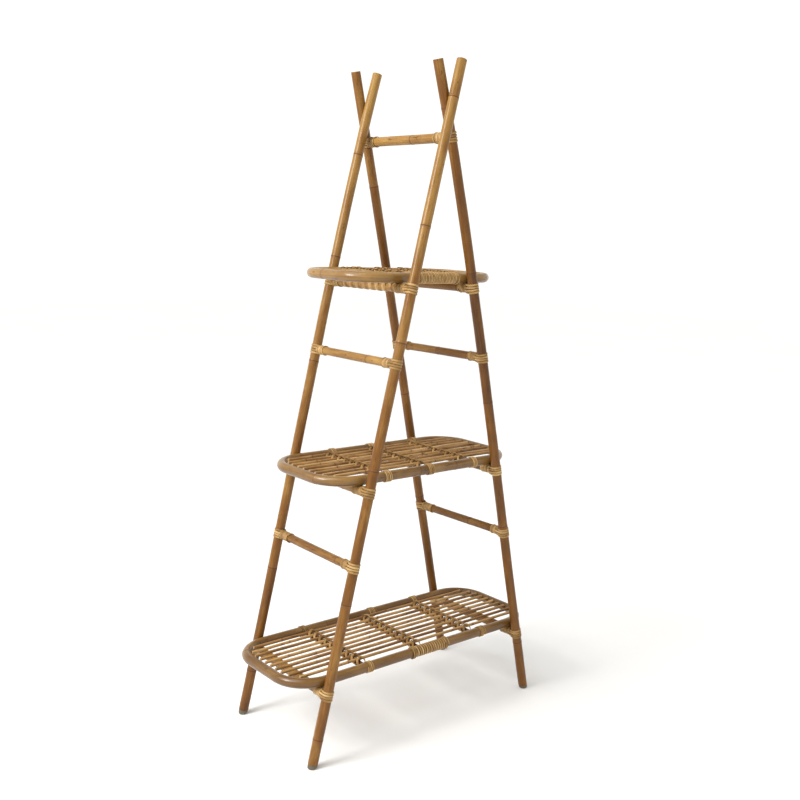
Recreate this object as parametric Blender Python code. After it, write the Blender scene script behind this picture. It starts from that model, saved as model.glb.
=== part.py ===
"""Rattan ladder shelf: two crossed A-frames, rungs, and three slatted shelves.

Frame: metres, +Z up, +X along the shelves, -Y towards the front A-frame.
The origin is on the floor, below the middle of the shelves.
"""

import math

import bmesh
import bpy
from mathutils import Vector

# Fits between pieces
GAP = 0.0003                # between two pieces that touch
SLAT_END_GAP = 0.0006       # from a slat's end to the inside of the rim
RIM_LEG_GAP = 0.0005        # from a rim's side to the nearer legs

# Legs: set by their ends, with a slight outward bow of each pole
LEG_RADIUS = 0.013
LEG_AXIS_HEIGHT = 1.75      # floor to the middle of the cut tops
FOOT_SPREADS = {"front": 0.376, "back": 0.365}      # half the distance between the feet along X
TOP_SPREAD = 0.0263         # half the distance between the crossed tops along X
FOOT_DEPTH = 0.179          # half the distance between the A-frames at the floor
TOP_DEPTH = 0.1755          # the same at the top, midway between the crossed poles
LEG_BOWS = {
    "front_left": 0.0065,
    "front_right": 0.0125,
    "back_left": 0.0090,
    "back_right": 0.0070,
}
BOW_SCALE = 6.75            # makes the bow curve's peak equal to 1, at two thirds of the leg
TIP_LEAN = 0.0049           # how far the tops of each A-frame curve in towards the other one
TIP_LEAN_POWER = 8          # how late along the leg the tops start to curve in
LEG_TRIMS = {               # cut tops above the common height, along Z
    "front_left": 0.0041,
    "front_right": 0.0,
    "back_left": -0.0021,
    "back_right": 0.0,
}
LEG_RINGS = 15
LEG_SIDES = 16

# Foot caps
CAP_HEIGHT = 0.0105         # along the leg, floor to the top of the cap
CAP_INSET = 0.0007          # the cap's side inside the leg's side
CAP_FLAT_INSET = 0.0045     # the edge of the flat inside the leg's side
CAP_SHOULDER_HEIGHT = 0.0060

# Rungs, crossbar and the bars that carry the shelves
BAR_RADIUS = 0.012
BOTTOM_BAR_HEIGHT = 0.182
SHELF_SPACING = 0.504
RUNG_RADIUS = 0.011
RUNG_RISE = 0.318           # from a shelf's bars up to the rungs above it
CROSSBAR_RADIUS = 0.0125
CROSSBAR_DROP = 0.068       # from the crossing of the legs down to the crossbar
BAR_SIDES = 14

# Shelves
LEVELS = ("bottom", "middle", "top")
RIM_RADIUS = 0.013
RIM_OVERHANGS = {"bottom": 0.0785, "middle": 0.0887, "top": 0.1198}   # past the bars
RIM_CORNER_RADIUS = 0.090
RIM_CORNER_STEPS = 8
RIM_SIDES = 14
CROSS_BAR_RADIUS = 0.007
CROSS_BAR_INSETS = {"bottom": 0.1415, "middle": 0.0753, "top": 0.0302}    # from the bars
CROSS_BAR_SIDES = 12
SLAT_RADIUS = 0.0042
SLAT_RISE = 0.0088          # from a rim's axis up to the slats' axes, so that their tops are level
SLAT_COUNTS = {"bottom": 10, "middle": 9, "top": 8}
SLAT_SIDES = 10

# Screws through the crossings of the legs
SCREW_RADIUS = 0.0025
SCREW_HEAD_RADIUS = 0.0045
SCREW_HEAD_DEPTH = 0.0030
SCREW_SINK = 0.0015         # head below the inner leg's surface
SCREW_BITE = 0.0160         # length held in the outer leg
SCREW_SIDES = 12

SIDES = {"left": -1.0, "right": 1.0}        # along X
FACES = {"front": -1.0, "back": 1.0}        # along Y
# At each crossing the left pole passes on the front side of the right pole,
# so the pole that faces the shelves is a different one in each A-frame.
INNER_LEGS = {"front": "front_right", "back": "back_left"}
OUTER_LEGS = {"front": "front_left", "back": "back_right"}

X_AXIS = Vector((1.0, 0.0, 0.0))
Y_AXIS = Vector((0.0, 1.0, 0.0))
Z_AXIS = Vector((0.0, 0.0, 1.0))


# ---------------------------------------------------------------- materials

def make_material(name, color, roughness, metallic=0.0):
    """A plain Principled material."""
    material = bpy.data.materials.new(name)
    material.use_nodes = True
    shader = material.node_tree.nodes["Principled BSDF"]
    shader.inputs["Base Color"].default_value = (*color, 1.0)
    shader.inputs["Roughness"].default_value = roughness
    shader.inputs["Metallic"].default_value = metallic
    material.diffuse_color = (*color, 1.0)
    return material


# ---------------------------------------------------------------- objects

def make_empty(name, location, parent=None):
    """A plain point that carries pieces."""
    empty = bpy.data.objects.new(name, None)
    empty.location = location
    empty.parent = parent
    bpy.context.collection.objects.link(empty)
    return empty


def make_object(name, builder, material, origin, parent):
    """Turns a bmesh in the parent's space into a piece with its own origin."""
    bmesh.ops.translate(builder, verts=builder.verts, vec=-origin)
    bmesh.ops.recalc_face_normals(builder, faces=builder.faces)
    mesh = bpy.data.meshes.new(name)
    builder.to_mesh(mesh)
    builder.free()
    mesh.shade_smooth()
    mesh.set_sharp_from_angle(angle=math.radians(40.0))
    mesh.materials.append(material)
    piece = bpy.data.objects.new(name, mesh)
    piece.location = origin
    piece.parent = parent
    bpy.context.collection.objects.link(piece)
    return piece


def make_cutter(name, builder, material, origin, parent):
    """A shape to take out of other pieces, which isn't part of the model."""
    cutter = make_object(name, builder, material, origin, parent)
    cutter.hide_render = True
    cutter.display_type = "WIRE"
    return cutter


def cut(piece, cutter):
    """Takes a cutter's shape out of a piece."""
    modifier = piece.modifiers.new("cut_" + cutter.name, "BOOLEAN")
    modifier.operation = "DIFFERENCE"
    modifier.object = cutter


# ---------------------------------------------------------------- mesh tools

def ring_axes(direction, reference):
    """Two unit vectors across a direction, the first nearest the reference."""
    axis_u = (reference - direction * reference.dot(direction)).normalized()
    axis_v = direction.cross(axis_u).normalized()
    return axis_u, axis_v


def add_ring(builder, center, axes, radius, sides):
    """Adds one ring of vertices in the plane of two unit vectors."""
    ring = []
    for index in range(sides):
        angle = 2.0 * math.pi * index / sides
        offset = axes[0] * math.cos(angle) + axes[1] * math.sin(angle)
        ring.append(builder.verts.new(center + offset * radius))
    return ring


def bridge(builder, lower, upper):
    """Joins two rings of the same size with quads."""
    count = len(lower)
    for index in range(count):
        following = (index + 1) % count
        builder.faces.new((lower[index], lower[following], upper[following], upper[index]))


def skin(rings, builder, closed=False):
    """Covers a row of rings, with end faces unless the row is closed."""
    for lower, upper in zip(rings, rings[1:]):
        bridge(builder, lower, upper)
    if closed:
        bridge(builder, rings[-1], rings[0])
    else:
        builder.faces.new(rings[0])
        builder.faces.new(rings[-1])


def sweep(points, radius, sides, reference, closed=False):
    """A round pole along a list of points."""
    builder = bmesh.new()
    count = len(points)
    rings = []
    for index, point in enumerate(points):
        before = points[index - 1] if closed or index > 0 else point
        after = points[(index + 1) % count] if closed or index < count - 1 else point
        axes = ring_axes((after - before).normalized(), reference)
        rings.append(add_ring(builder, point, axes, radius, sides))
    skin(rings, builder, closed)
    return builder


def lathe(start, direction, profile, sides):
    """A turned piece from (distance along the axis, radius) steps."""
    builder = bmesh.new()
    axes = ring_axes(direction, Z_AXIS)
    rings = []
    for distance, radius in profile:
        rings.append(add_ring(builder, start + direction * distance, axes, radius, sides))
    skin(rings, builder)
    return builder


# ---------------------------------------------------------------- leg lines

def crossing_share(face):
    """Share of the legs' height at which the straight poles of an A-frame cross."""
    return FOOT_SPREADS[face] / (FOOT_SPREADS[face] + TOP_SPREAD)


def crossing_height(face):
    """Height of the crossing of the straight poles."""
    return LEG_AXIS_HEIGHT * crossing_share(face)


def leg_point(leg, share):
    """A point on a leg's axis, from 0 at the floor to 1 at the cut top."""
    face, side = leg.split("_")
    x_straight = FOOT_SPREADS[face] - (FOOT_SPREADS[face] + TOP_SPREAD) * share
    x_bow = LEG_BOWS[leg] * BOW_SCALE * share * share * (1.0 - share)
    middle = FOOT_DEPTH + (TOP_DEPTH - FOOT_DEPTH) * share - TIP_LEAN * share ** TIP_LEAN_POWER
    aside = (LEG_RADIUS + GAP) * share / crossing_share(face)
    return Vector((
        SIDES[side] * (x_straight + x_bow),
        FACES[face] * middle + SIDES[side] * aside,
        LEG_AXIS_HEIGHT * share,
    ))


def leg_at_height(leg, height):
    """The point of a leg's axis at a height."""
    return leg_point(leg, height / LEG_AXIS_HEIGHT)


def foot_direction(leg):
    """The leg's upward direction at the floor."""
    return (leg_point(leg, 0.01) - leg_point(leg, 0.0)).normalized()


def leg_path(leg, start_share):
    """Points along a leg's axis, up to its cut top."""
    path = []
    end_share = 1.0 + LEG_TRIMS[leg] / LEG_AXIS_HEIGHT
    for index in range(LEG_RINGS):
        share = start_share + (end_share - start_share) * index / (LEG_RINGS - 1)
        path.append(leg_point(leg, share))
    return path


# ---------------------------------------------------------------- legs and feet

def make_leg(leg, material, parent):
    """One pole, from just above its foot cap to its cut top."""
    start_height = (CAP_HEIGHT + GAP) * foot_direction(leg).z
    path = leg_path(leg, start_height / LEG_AXIS_HEIGHT)
    builder = sweep(path, LEG_RADIUS, LEG_SIDES, X_AXIS)
    return make_object("leg_" + leg, builder, material, leg_point(leg, 0.0), parent)


def make_leg_cutter(leg, material, parent):
    """The leg's shape with the fitting gap round it, for coping bar ends."""
    builder = sweep(leg_path(leg, 0.0), LEG_RADIUS + GAP, LEG_SIDES, X_AXIS)
    return make_cutter("cutter_leg_" + leg, builder, material, leg_point(leg, 0.0), parent)


def make_foot_cap(leg, material, parent):
    """A domed glide: a round top square to the leg, and a flat on the floor."""
    foot = leg_point(leg, 0.0)
    direction = foot_direction(leg)
    axes = ring_axes(direction, X_AXIS)
    side_radius = LEG_RADIUS - CAP_INSET
    flat_radius = LEG_RADIUS - CAP_FLAT_INSET
    builder = bmesh.new()
    flat = add_ring(builder, foot, (X_AXIS, Y_AXIS), flat_radius, LEG_SIDES)
    shoulder_center = foot + direction * CAP_SHOULDER_HEIGHT
    shoulder = add_ring(builder, shoulder_center, axes, side_radius, LEG_SIDES)
    top = add_ring(builder, foot + direction * CAP_HEIGHT, axes, side_radius, LEG_SIDES)
    skin([flat, shoulder, top], builder)
    return make_object("foot_cap_" + leg, builder, material, foot, parent)


# ---------------------------------------------------------------- crossing screws

def screw_profile(clearance):
    """The screw's outline, from its head; clearance makes it the outline of its hole."""
    head_start = SCREW_SINK - 2.0 * LEG_RADIUS - GAP
    return [
        (head_start, SCREW_HEAD_RADIUS + clearance),
        (head_start + SCREW_HEAD_DEPTH, SCREW_RADIUS + clearance),
        (SCREW_BITE + clearance, SCREW_RADIUS + clearance),
    ]


def make_crossing_screw(face, material, legs, parent):
    """A countersunk screw from the inner leg into the outer one, and its hole."""
    inner = INNER_LEGS[face]
    outer = OUTER_LEGS[face]
    inner_point = leg_at_height(inner, crossing_height(face))
    outer_point = leg_at_height(outer, crossing_height(face))
    between = (inner_point + outer_point) / 2.0
    outward = Y_AXIS * FACES[face]

    builder = lathe(between, outward, screw_profile(0.0), SCREW_SIDES)
    make_object("crossing_screw_" + face, builder, material, between, parent)

    hole = screw_profile(GAP)
    mouth = (hole[0][0] - SCREW_SINK - LEG_RADIUS, hole[0][1])
    builder = lathe(between, outward, [mouth] + hole, SCREW_SIDES)
    cutter = make_cutter("cutter_screw_" + face, builder, material, between, parent)
    cut(legs[inner], cutter)
    cut(legs[outer], cutter)


# ---------------------------------------------------------------- bars between legs

def bar_height(level):
    """Height of the bars that carry a shelf."""
    return BOTTOM_BAR_HEIGHT + SHELF_SPACING * LEVELS.index(level)


def make_bar(name, leg_names, height, radius, material, leg_cutters, parent):
    """A bar between two legs at one height, its ends coped to fit them."""
    start = leg_at_height(leg_names[0], height)
    end = leg_at_height(leg_names[1], height)
    builder = sweep([start, end], radius, BAR_SIDES, Z_AXIS)
    piece = make_object(name, builder, material, (start + end) / 2.0, parent)
    for leg in leg_names:
        cut(piece, leg_cutters[leg])


def make_side_bars(side, material, leg_cutters, parent):
    """The support bars and rungs at one end of the shelves."""
    leg_names = ("front_" + side, "back_" + side)
    for level in LEVELS:
        name = "support_bar_{}_{}".format(side, level)
        make_bar(name, leg_names, bar_height(level), BAR_RADIUS, material, leg_cutters, parent)
    for place, level in (("lower", "bottom"), ("upper", "middle")):
        name = "rung_{}_{}".format(side, place)
        height = bar_height(level) + RUNG_RISE
        make_bar(name, leg_names, height, RUNG_RADIUS, material, leg_cutters, parent)


def make_top_crossbar(material, leg_cutters, parent):
    """The bar between the two right legs, below the crossings."""
    leg_names = ("front_right", "back_right")
    height = crossing_height("front") - CROSSBAR_DROP
    radius = CROSSBAR_RADIUS
    make_bar("top_crossbar", leg_names, height, radius, material, leg_cutters, parent)


# ---------------------------------------------------------------- shelves

def rim_height(level):
    """Height of a rim's axis: the rim rests on its two support bars."""
    return bar_height(level) + BAR_RADIUS + GAP + RIM_RADIUS


def bar_spread(level):
    """Half the distance along X between a level's two support bars."""
    distances = [abs(leg_at_height(leg, bar_height(level)).x) for leg in LEG_BOWS]
    return sum(distances) / len(distances)


def rim_half_length(level):
    """Half the length of a rim's axis line, which reaches past the bars."""
    return bar_spread(level) + RIM_OVERHANGS[level]


def rim_half_depth(level):
    """Half the depth of a rim's axis line, which fits between the inner legs."""
    height = rim_height(level)
    nearest = min(abs(leg_at_height(leg, height).y) for leg in INNER_LEGS.values())
    return nearest - LEG_RADIUS - RIM_LEG_GAP - RIM_RADIUS


def rim_path(level):
    """The rim's axis line in the shelf's space: a rectangle with round corners."""
    straight_x = rim_half_length(level) - RIM_CORNER_RADIUS
    straight_y = rim_half_depth(level) - RIM_CORNER_RADIUS
    path = []
    for quarter in range(4):
        center_x = straight_x if quarter in (0, 3) else -straight_x
        center_y = straight_y if quarter in (0, 1) else -straight_y
        for step in range(RIM_CORNER_STEPS + 1):
            angle = math.radians(90.0) * (quarter + step / RIM_CORNER_STEPS)
            x = center_x + RIM_CORNER_RADIUS * math.cos(angle)
            y = center_y + RIM_CORNER_RADIUS * math.sin(angle)
            path.append(Vector((x, y, 0.0)))
    return path


def make_rim(level, material, parent):
    """One pole bent into a closed ring, and the cutter that copes its cross bars."""
    path = rim_path(level)
    center = Vector((0.0, 0.0, 0.0))
    builder = sweep(path, RIM_RADIUS, RIM_SIDES, Z_AXIS, closed=True)
    make_object("shelf_{}_rim".format(level), builder, material, center, parent)
    builder = sweep(path, RIM_RADIUS + GAP, RIM_SIDES, Z_AXIS, closed=True)
    return make_cutter("cutter_rim_" + level, builder, material, center, parent)


def make_cross_bar(level, number, place, material, rim_cutter, parent):
    """A bar under the slats, its ends coped to fit the inside of the rim."""
    x = place * (bar_spread(level) - CROSS_BAR_INSETS[level])
    center = Vector((x, 0.0, SLAT_RISE - SLAT_RADIUS - GAP - CROSS_BAR_RADIUS))
    reach = Y_AXIS * rim_half_depth(level)
    ends = [center - reach, center + reach]
    builder = sweep(ends, CROSS_BAR_RADIUS, CROSS_BAR_SIDES, Z_AXIS)
    name = "shelf_{}_cross_bar_{}".format(level, number)
    piece = make_object(name, builder, material, center, parent)
    cut(piece, rim_cutter)


def slat_half_length(level, y):
    """How far a slat at y reaches before its underside meets the inside of the rim."""
    corner_x = rim_half_length(level) - RIM_CORNER_RADIUS
    corner_y = rim_half_depth(level) - RIM_CORNER_RADIUS
    underside = max(0.0, SLAT_RISE - SLAT_RADIUS)
    rim_side = math.sqrt(RIM_RADIUS * RIM_RADIUS - underside * underside)
    inside_radius = RIM_CORNER_RADIUS - rim_side
    past_corner = max(0.0, abs(y) + SLAT_RADIUS - corner_y)
    reach = math.sqrt(inside_radius * inside_radius - past_corner * past_corner)
    return corner_x + reach - SLAT_END_GAP


def make_slat(level, number, y, material, parent):
    """One thin cane along the shelf, its top level with the rim's."""
    center = Y_AXIS * y + Z_AXIS * SLAT_RISE
    reach = X_AXIS * slat_half_length(level, y)
    builder = sweep([center - reach, center + reach], SLAT_RADIUS, SLAT_SIDES, Z_AXIS)
    name = "shelf_{}_slat_{}".format(level, number)
    make_object(name, builder, material, center, parent)


def make_shelf(level, rim_material, bar_material, slat_material, parent):
    """A rim, its three cross bars and its slats."""
    shelf = make_empty("shelf_" + level, (0.0, 0.0, rim_height(level)), parent)
    rim_cutter = make_rim(level, rim_material, shelf)
    for number, place in enumerate((-1.0, 0.0, 1.0), start=1):
        make_cross_bar(level, number, place, bar_material, rim_cutter, shelf)
    count = SLAT_COUNTS[level]
    pitch = 2.0 * (rim_half_depth(level) - RIM_RADIUS) / (count + 1)
    for number in range(1, count + 1):
        y = (number - (count + 1) / 2.0) * pitch
        make_slat(level, number, y, slat_material, shelf)


# ---------------------------------------------------------------- assembly

def main():
    """Builds the whole shelf."""
    for leftover in list(bpy.data.objects):
        bpy.data.objects.remove(leftover, do_unlink=True)

    pole = make_material("rattan_pole", (0.42, 0.25, 0.10), 0.42)
    rung = make_material("rattan_rung", (0.47, 0.30, 0.13), 0.45)
    rim = make_material("rattan_rim", (0.44, 0.27, 0.12), 0.40)
    cross_bar = make_material("rattan_cross_bar", (0.36, 0.21, 0.08), 0.55)
    slat = make_material("rattan_slat", (0.50, 0.33, 0.16), 0.50)
    glide = make_material("glide_plastic", (0.16, 0.16, 0.14), 0.45)
    steel = make_material("screw_steel", (0.55, 0.55, 0.56), 0.35, metallic=1.0)

    shelf_unit = make_empty("ladder_shelf", (0.0, 0.0, 0.0))
    legs = {}
    leg_cutters = {}
    for leg in LEG_BOWS:
        legs[leg] = make_leg(leg, pole, shelf_unit)
        leg_cutters[leg] = make_leg_cutter(leg, pole, shelf_unit)
        make_foot_cap(leg, glide, shelf_unit)
    for face in FACES:
        make_crossing_screw(face, steel, legs, shelf_unit)
    for side in SIDES:
        make_side_bars(side, rung, leg_cutters, shelf_unit)
    make_top_crossbar(rung, leg_cutters, shelf_unit)
    for level in LEVELS:
        make_shelf(level, rim, cross_bar, slat, shelf_unit)


main()
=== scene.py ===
"""Looks of the rattan ladder shelf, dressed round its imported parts.

Frame: metres, +Z up, +X along the shelves, -Y towards the front A-frame.
"""

import logging
import math
from dataclasses import dataclass, field
from enum import Enum

import bpy
import numpy as np
from mathutils import Matrix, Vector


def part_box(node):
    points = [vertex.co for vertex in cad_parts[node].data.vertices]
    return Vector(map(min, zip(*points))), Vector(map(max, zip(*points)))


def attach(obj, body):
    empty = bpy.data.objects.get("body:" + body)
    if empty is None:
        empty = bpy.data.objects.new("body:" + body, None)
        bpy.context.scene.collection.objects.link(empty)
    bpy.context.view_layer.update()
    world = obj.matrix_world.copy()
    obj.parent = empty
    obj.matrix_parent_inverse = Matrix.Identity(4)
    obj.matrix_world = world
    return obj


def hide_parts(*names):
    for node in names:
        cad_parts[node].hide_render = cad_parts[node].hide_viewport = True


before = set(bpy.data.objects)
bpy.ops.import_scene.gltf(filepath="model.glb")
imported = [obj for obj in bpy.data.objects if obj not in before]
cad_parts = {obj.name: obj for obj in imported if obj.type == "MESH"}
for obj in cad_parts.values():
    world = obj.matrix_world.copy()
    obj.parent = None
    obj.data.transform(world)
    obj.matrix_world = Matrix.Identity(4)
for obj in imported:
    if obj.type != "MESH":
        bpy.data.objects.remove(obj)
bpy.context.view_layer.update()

BODY = "root"
X_AXIS = np.array((1.0, 0.0, 0.0))
Y_AXIS = np.array((0.0, 1.0, 0.0))
Z_AXIS = np.array((0.0, 0.0, 1.0))
FULL_TURN = 2.0 * math.pi
FAR_FROM_NODE = 1.0

log = logging.getLogger("ladder_shelf")

Colour = tuple[float, float, float]
Knot = tuple[float, float, float, float, float, float]
# Where a lacing passes a bar at 45 degrees: its reach aside and up, as shares of the bar's radius
SHOULDER, SLANT = 0.72, 0.70


def paint(red: int, green: int, blue: int) -> Colour:
    """Turns a colour as a paint card gives it, 0 to 255, into light values.

    Args:
        red: Red share, 0 to 255.
        green: Green share, 0 to 255.
        blue: Blue share, 0 to 255.

    Returns:
        The colour for a shader socket.
    """
    values = [share / 255.0 for share in (red, green, blue)]
    return tuple(v / 12.92 if v <= 0.04045 else ((v + 0.055) / 1.055) ** 2.4 for v in values)


class Level(Enum):
    """The three shelves."""

    BOTTOM = "bottom"
    MIDDLE = "middle"
    TOP = "top"


class Side(Enum):
    """The two ends of the shelf unit, along X."""

    LEFT = "left"
    RIGHT = "right"


class Face(Enum):
    """The two A-frames, along Y."""

    FRONT = "front"
    BACK = "back"


# ---------------------------------------------------------------- shader maths

class Wire:
    """One output of a material's nodes. Sums on it add Math nodes."""

    def __init__(self, bench: "Bench", socket: bpy.types.NodeSocket) -> None:
        """Keeps the bench that adds nodes, and the socket."""
        self.bench = bench
        self.socket = socket

    def _math(self, operation: str, first: "Wire | float", second: "Wire | float") -> "Wire":
        """Adds a Math node.

        Args:
            operation: The node's operation.
            first: Its first value.
            second: Its second value.

        Returns:
            The result.
        """
        return self.bench.node("ShaderNodeMath", {"operation": operation}, {0: first, 1: second})

    def __add__(self, other: "Wire | float") -> "Wire":
        """Sum."""
        return self._math("ADD", self, other)

    def __radd__(self, other: float) -> "Wire":
        """Sum with a number in front."""
        return self._math("ADD", other, self)

    def __sub__(self, other: "Wire | float") -> "Wire":
        """Difference."""
        return self._math("SUBTRACT", self, other)

    def __rsub__(self, other: float) -> "Wire":
        """Difference from a number."""
        return self._math("SUBTRACT", other, self)

    def __mul__(self, other: "Wire | float") -> "Wire":
        """Product."""
        return self._math("MULTIPLY", self, other)

    def __rmul__(self, other: float) -> "Wire":
        """Product with a number in front."""
        return self._math("MULTIPLY", other, self)

    def __abs__(self) -> "Wire":
        """Size without its sign."""
        return self._math("ABSOLUTE", self, 0.0)


# A grain is its features per metre in three directions and its number of finer layers
Grain = tuple[tuple[float, float, float], float]
LAYER_STRENGTH = 0.6


class Bench:
    """The node tree of one material, or of the room."""

    def __init__(self, owner: bpy.types.Material | bpy.types.World) -> None:
        """Empties the node tree of a new material or world.

        Args:
            owner: The material or world.
        """
        self.owner = owner
        owner.use_nodes = True
        self.tree = owner.node_tree
        self.tree.nodes.clear()

    def node(
        self,
        kind: str,
        settings: dict | None = None,
        inputs: dict | None = None,
        output: int | str = 0,
    ) -> Wire:
        """Adds any node.

        Args:
            kind: The node's type.
            settings: Its properties, set first; "stops" are a ramp's (place, colour) pairs.
            inputs: Values or wires by socket index or name.
            output: The output to hand back.

        Returns:
            The wire of that output.
        """
        made = self.tree.nodes.new(kind)
        for key, value in (settings or {}).items():
            if key == "stops":
                self._set_stops(made.color_ramp, value)
            else:
                setattr(made, key, value)
        for key, value in (inputs or {}).items():
            socket = made.inputs[key]
            if isinstance(value, Wire):
                self.tree.links.new(value.socket, socket)
            elif isinstance(value, tuple) and socket.type == "RGBA":
                socket.default_value = (*value, 1.0)
            else:
                socket.default_value = value
        return Wire(self, made.outputs[output] if made.outputs else None)

    @staticmethod
    def _set_stops(ramp: bpy.types.ColorRamp, stops: list[tuple[float, Colour]]) -> None:
        """Gives a ramp its stops.

        Args:
            ramp: The ramp to fill.
            stops: Its (place, colour) pairs, in order.
        """
        while len(ramp.elements) < len(stops):
            ramp.elements.new(1.0)
        for element, (place, colour) in zip(ramp.elements, stops):
            element.position = place
            element.color = (*colour, 1.0)

    def along_cane(self) -> Wire:
        """The place in the cane as if it were straight, its length along Z."""
        return self.node("ShaderNodeAttribute", {"attribute_name": "cane"}, output="Vector")

    def note(self, name: str) -> Wire:
        """A number that the mesh carries under a name."""
        return self.node("ShaderNodeAttribute", {"attribute_name": name}, output="Fac")

    def noise(self, place: Wire, grain: Grain) -> Wire:
        """Cloudy variation from 0 to 1.

        Args:
            place: The coordinate.
            grain: Features per metre along its directions, and the number of finer layers.

        Returns:
            The variation.
        """
        scale, detail = grain
        stretched = self.node(
            "ShaderNodeVectorMath", {"operation": "MULTIPLY"}, {0: place, 1: scale}
        )
        settings = {"noise_dimensions": "3D"}
        inputs = {"Vector": stretched, "Scale": 1.0, "Detail": detail, "Roughness": LAYER_STRENGTH}
        return self.node("ShaderNodeTexNoise", settings, inputs, "Fac")

    def ease(self, value: Wire, start: float, end: float) -> Wire:
        """Eases from 0 to 1 as a value passes from one limit to another.

        Args:
            value: The value.
            start: Where the result is still 0.
            end: Where it becomes 1.

        Returns:
            The eased share.
        """
        settings = {"interpolation_type": "SMOOTHSTEP", "clamp": True}
        inputs = {"Value": value, "From Min": start, "From Max": end}
        return self.node("ShaderNodeMapRange", settings, inputs, "Result")

    def blend(self, share: Wire, first: Wire | Colour, second: Wire | Colour) -> Wire:
        """Mixes two colours, all first at share 0 and all second at 1."""
        settings = {"data_type": "RGBA", "clamp_factor": True}
        return self.node("ShaderNodeMix", settings, {0: share, 6: first, 7: second}, 2)

    def ramp(self, share: Wire, stops: list[tuple[float, Colour]]) -> Wire:
        """Picks a colour from a row of stops."""
        return self.node("ShaderNodeValToRGB", {"stops": stops}, {"Fac": share}, "Color")

    def relief(self, height: Wire, depth: float, strength: float) -> Wire:
        """Turns a height into a bump normal.

        Args:
            height: Height, about 0 to 1.
            depth: What a height of 1 stands for, in metres.
            strength: Share of the bump that shows.

        Returns:
            The normal.
        """
        inputs = {"Height": height, "Distance": depth, "Strength": strength}
        return self.node("ShaderNodeBump", {}, inputs, "Normal")

    def surface(self, inputs: dict) -> bpy.types.Material:
        """Ends the material in one shader.

        Args:
            inputs: Values or wires of the shader's sockets.

        Returns:
            The finished material.
        """
        shader = self.node("ShaderNodeBsdfPrincipled", {}, inputs, "BSDF")
        self.node("ShaderNodeOutputMaterial", {}, {"Surface": shader})
        return self.owner


# ---------------------------------------------------------------- finishes

# Grains of the finishes; on the cane the third direction runs along it
CANE_FIBRES: Grain = ((1150.0, 1150.0, 17.0), 3.0)
CANE_STREAKS: Grain = ((300.0, 300.0, 6.0), 3.0)
CANE_MOTTLE: Grain = ((34.0, 34.0, 10.0), 4.0)
CANE_FLECKS: Grain = ((520.0, 520.0, 150.0), 2.0)
CANE_SCARS: Grain = ((150.0, 150.0, 34.0), 2.0)
END_PORES: Grain = ((1500.0, 1500.0, 300.0), 2.0)
END_STAIN: Grain = ((170.0, 170.0, 90.0), 3.0)
PEEL_FIBRES: Grain = ((2600.0, 2600.0, 40.0), 3.0)
PEEL_BLOTCH: Grain = ((90.0, 90.0, 45.0), 3.0)
GLIDE_GRAIN: Grain = ((1800.0, 1800.0, 1800.0), 2.0)
GLIDE_WEAR: Grain = ((240.0, 240.0, 240.0), 4.0)
STEEL_TURNING: Grain = ((500.0, 4000.0, 500.0), 2.0)
STEEL_STAIN: Grain = ((300.0, 300.0, 300.0), 3.0)
FLOOR_CLOUD: Grain = ((0.8, 0.8, 0.8), 2.0)


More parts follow.
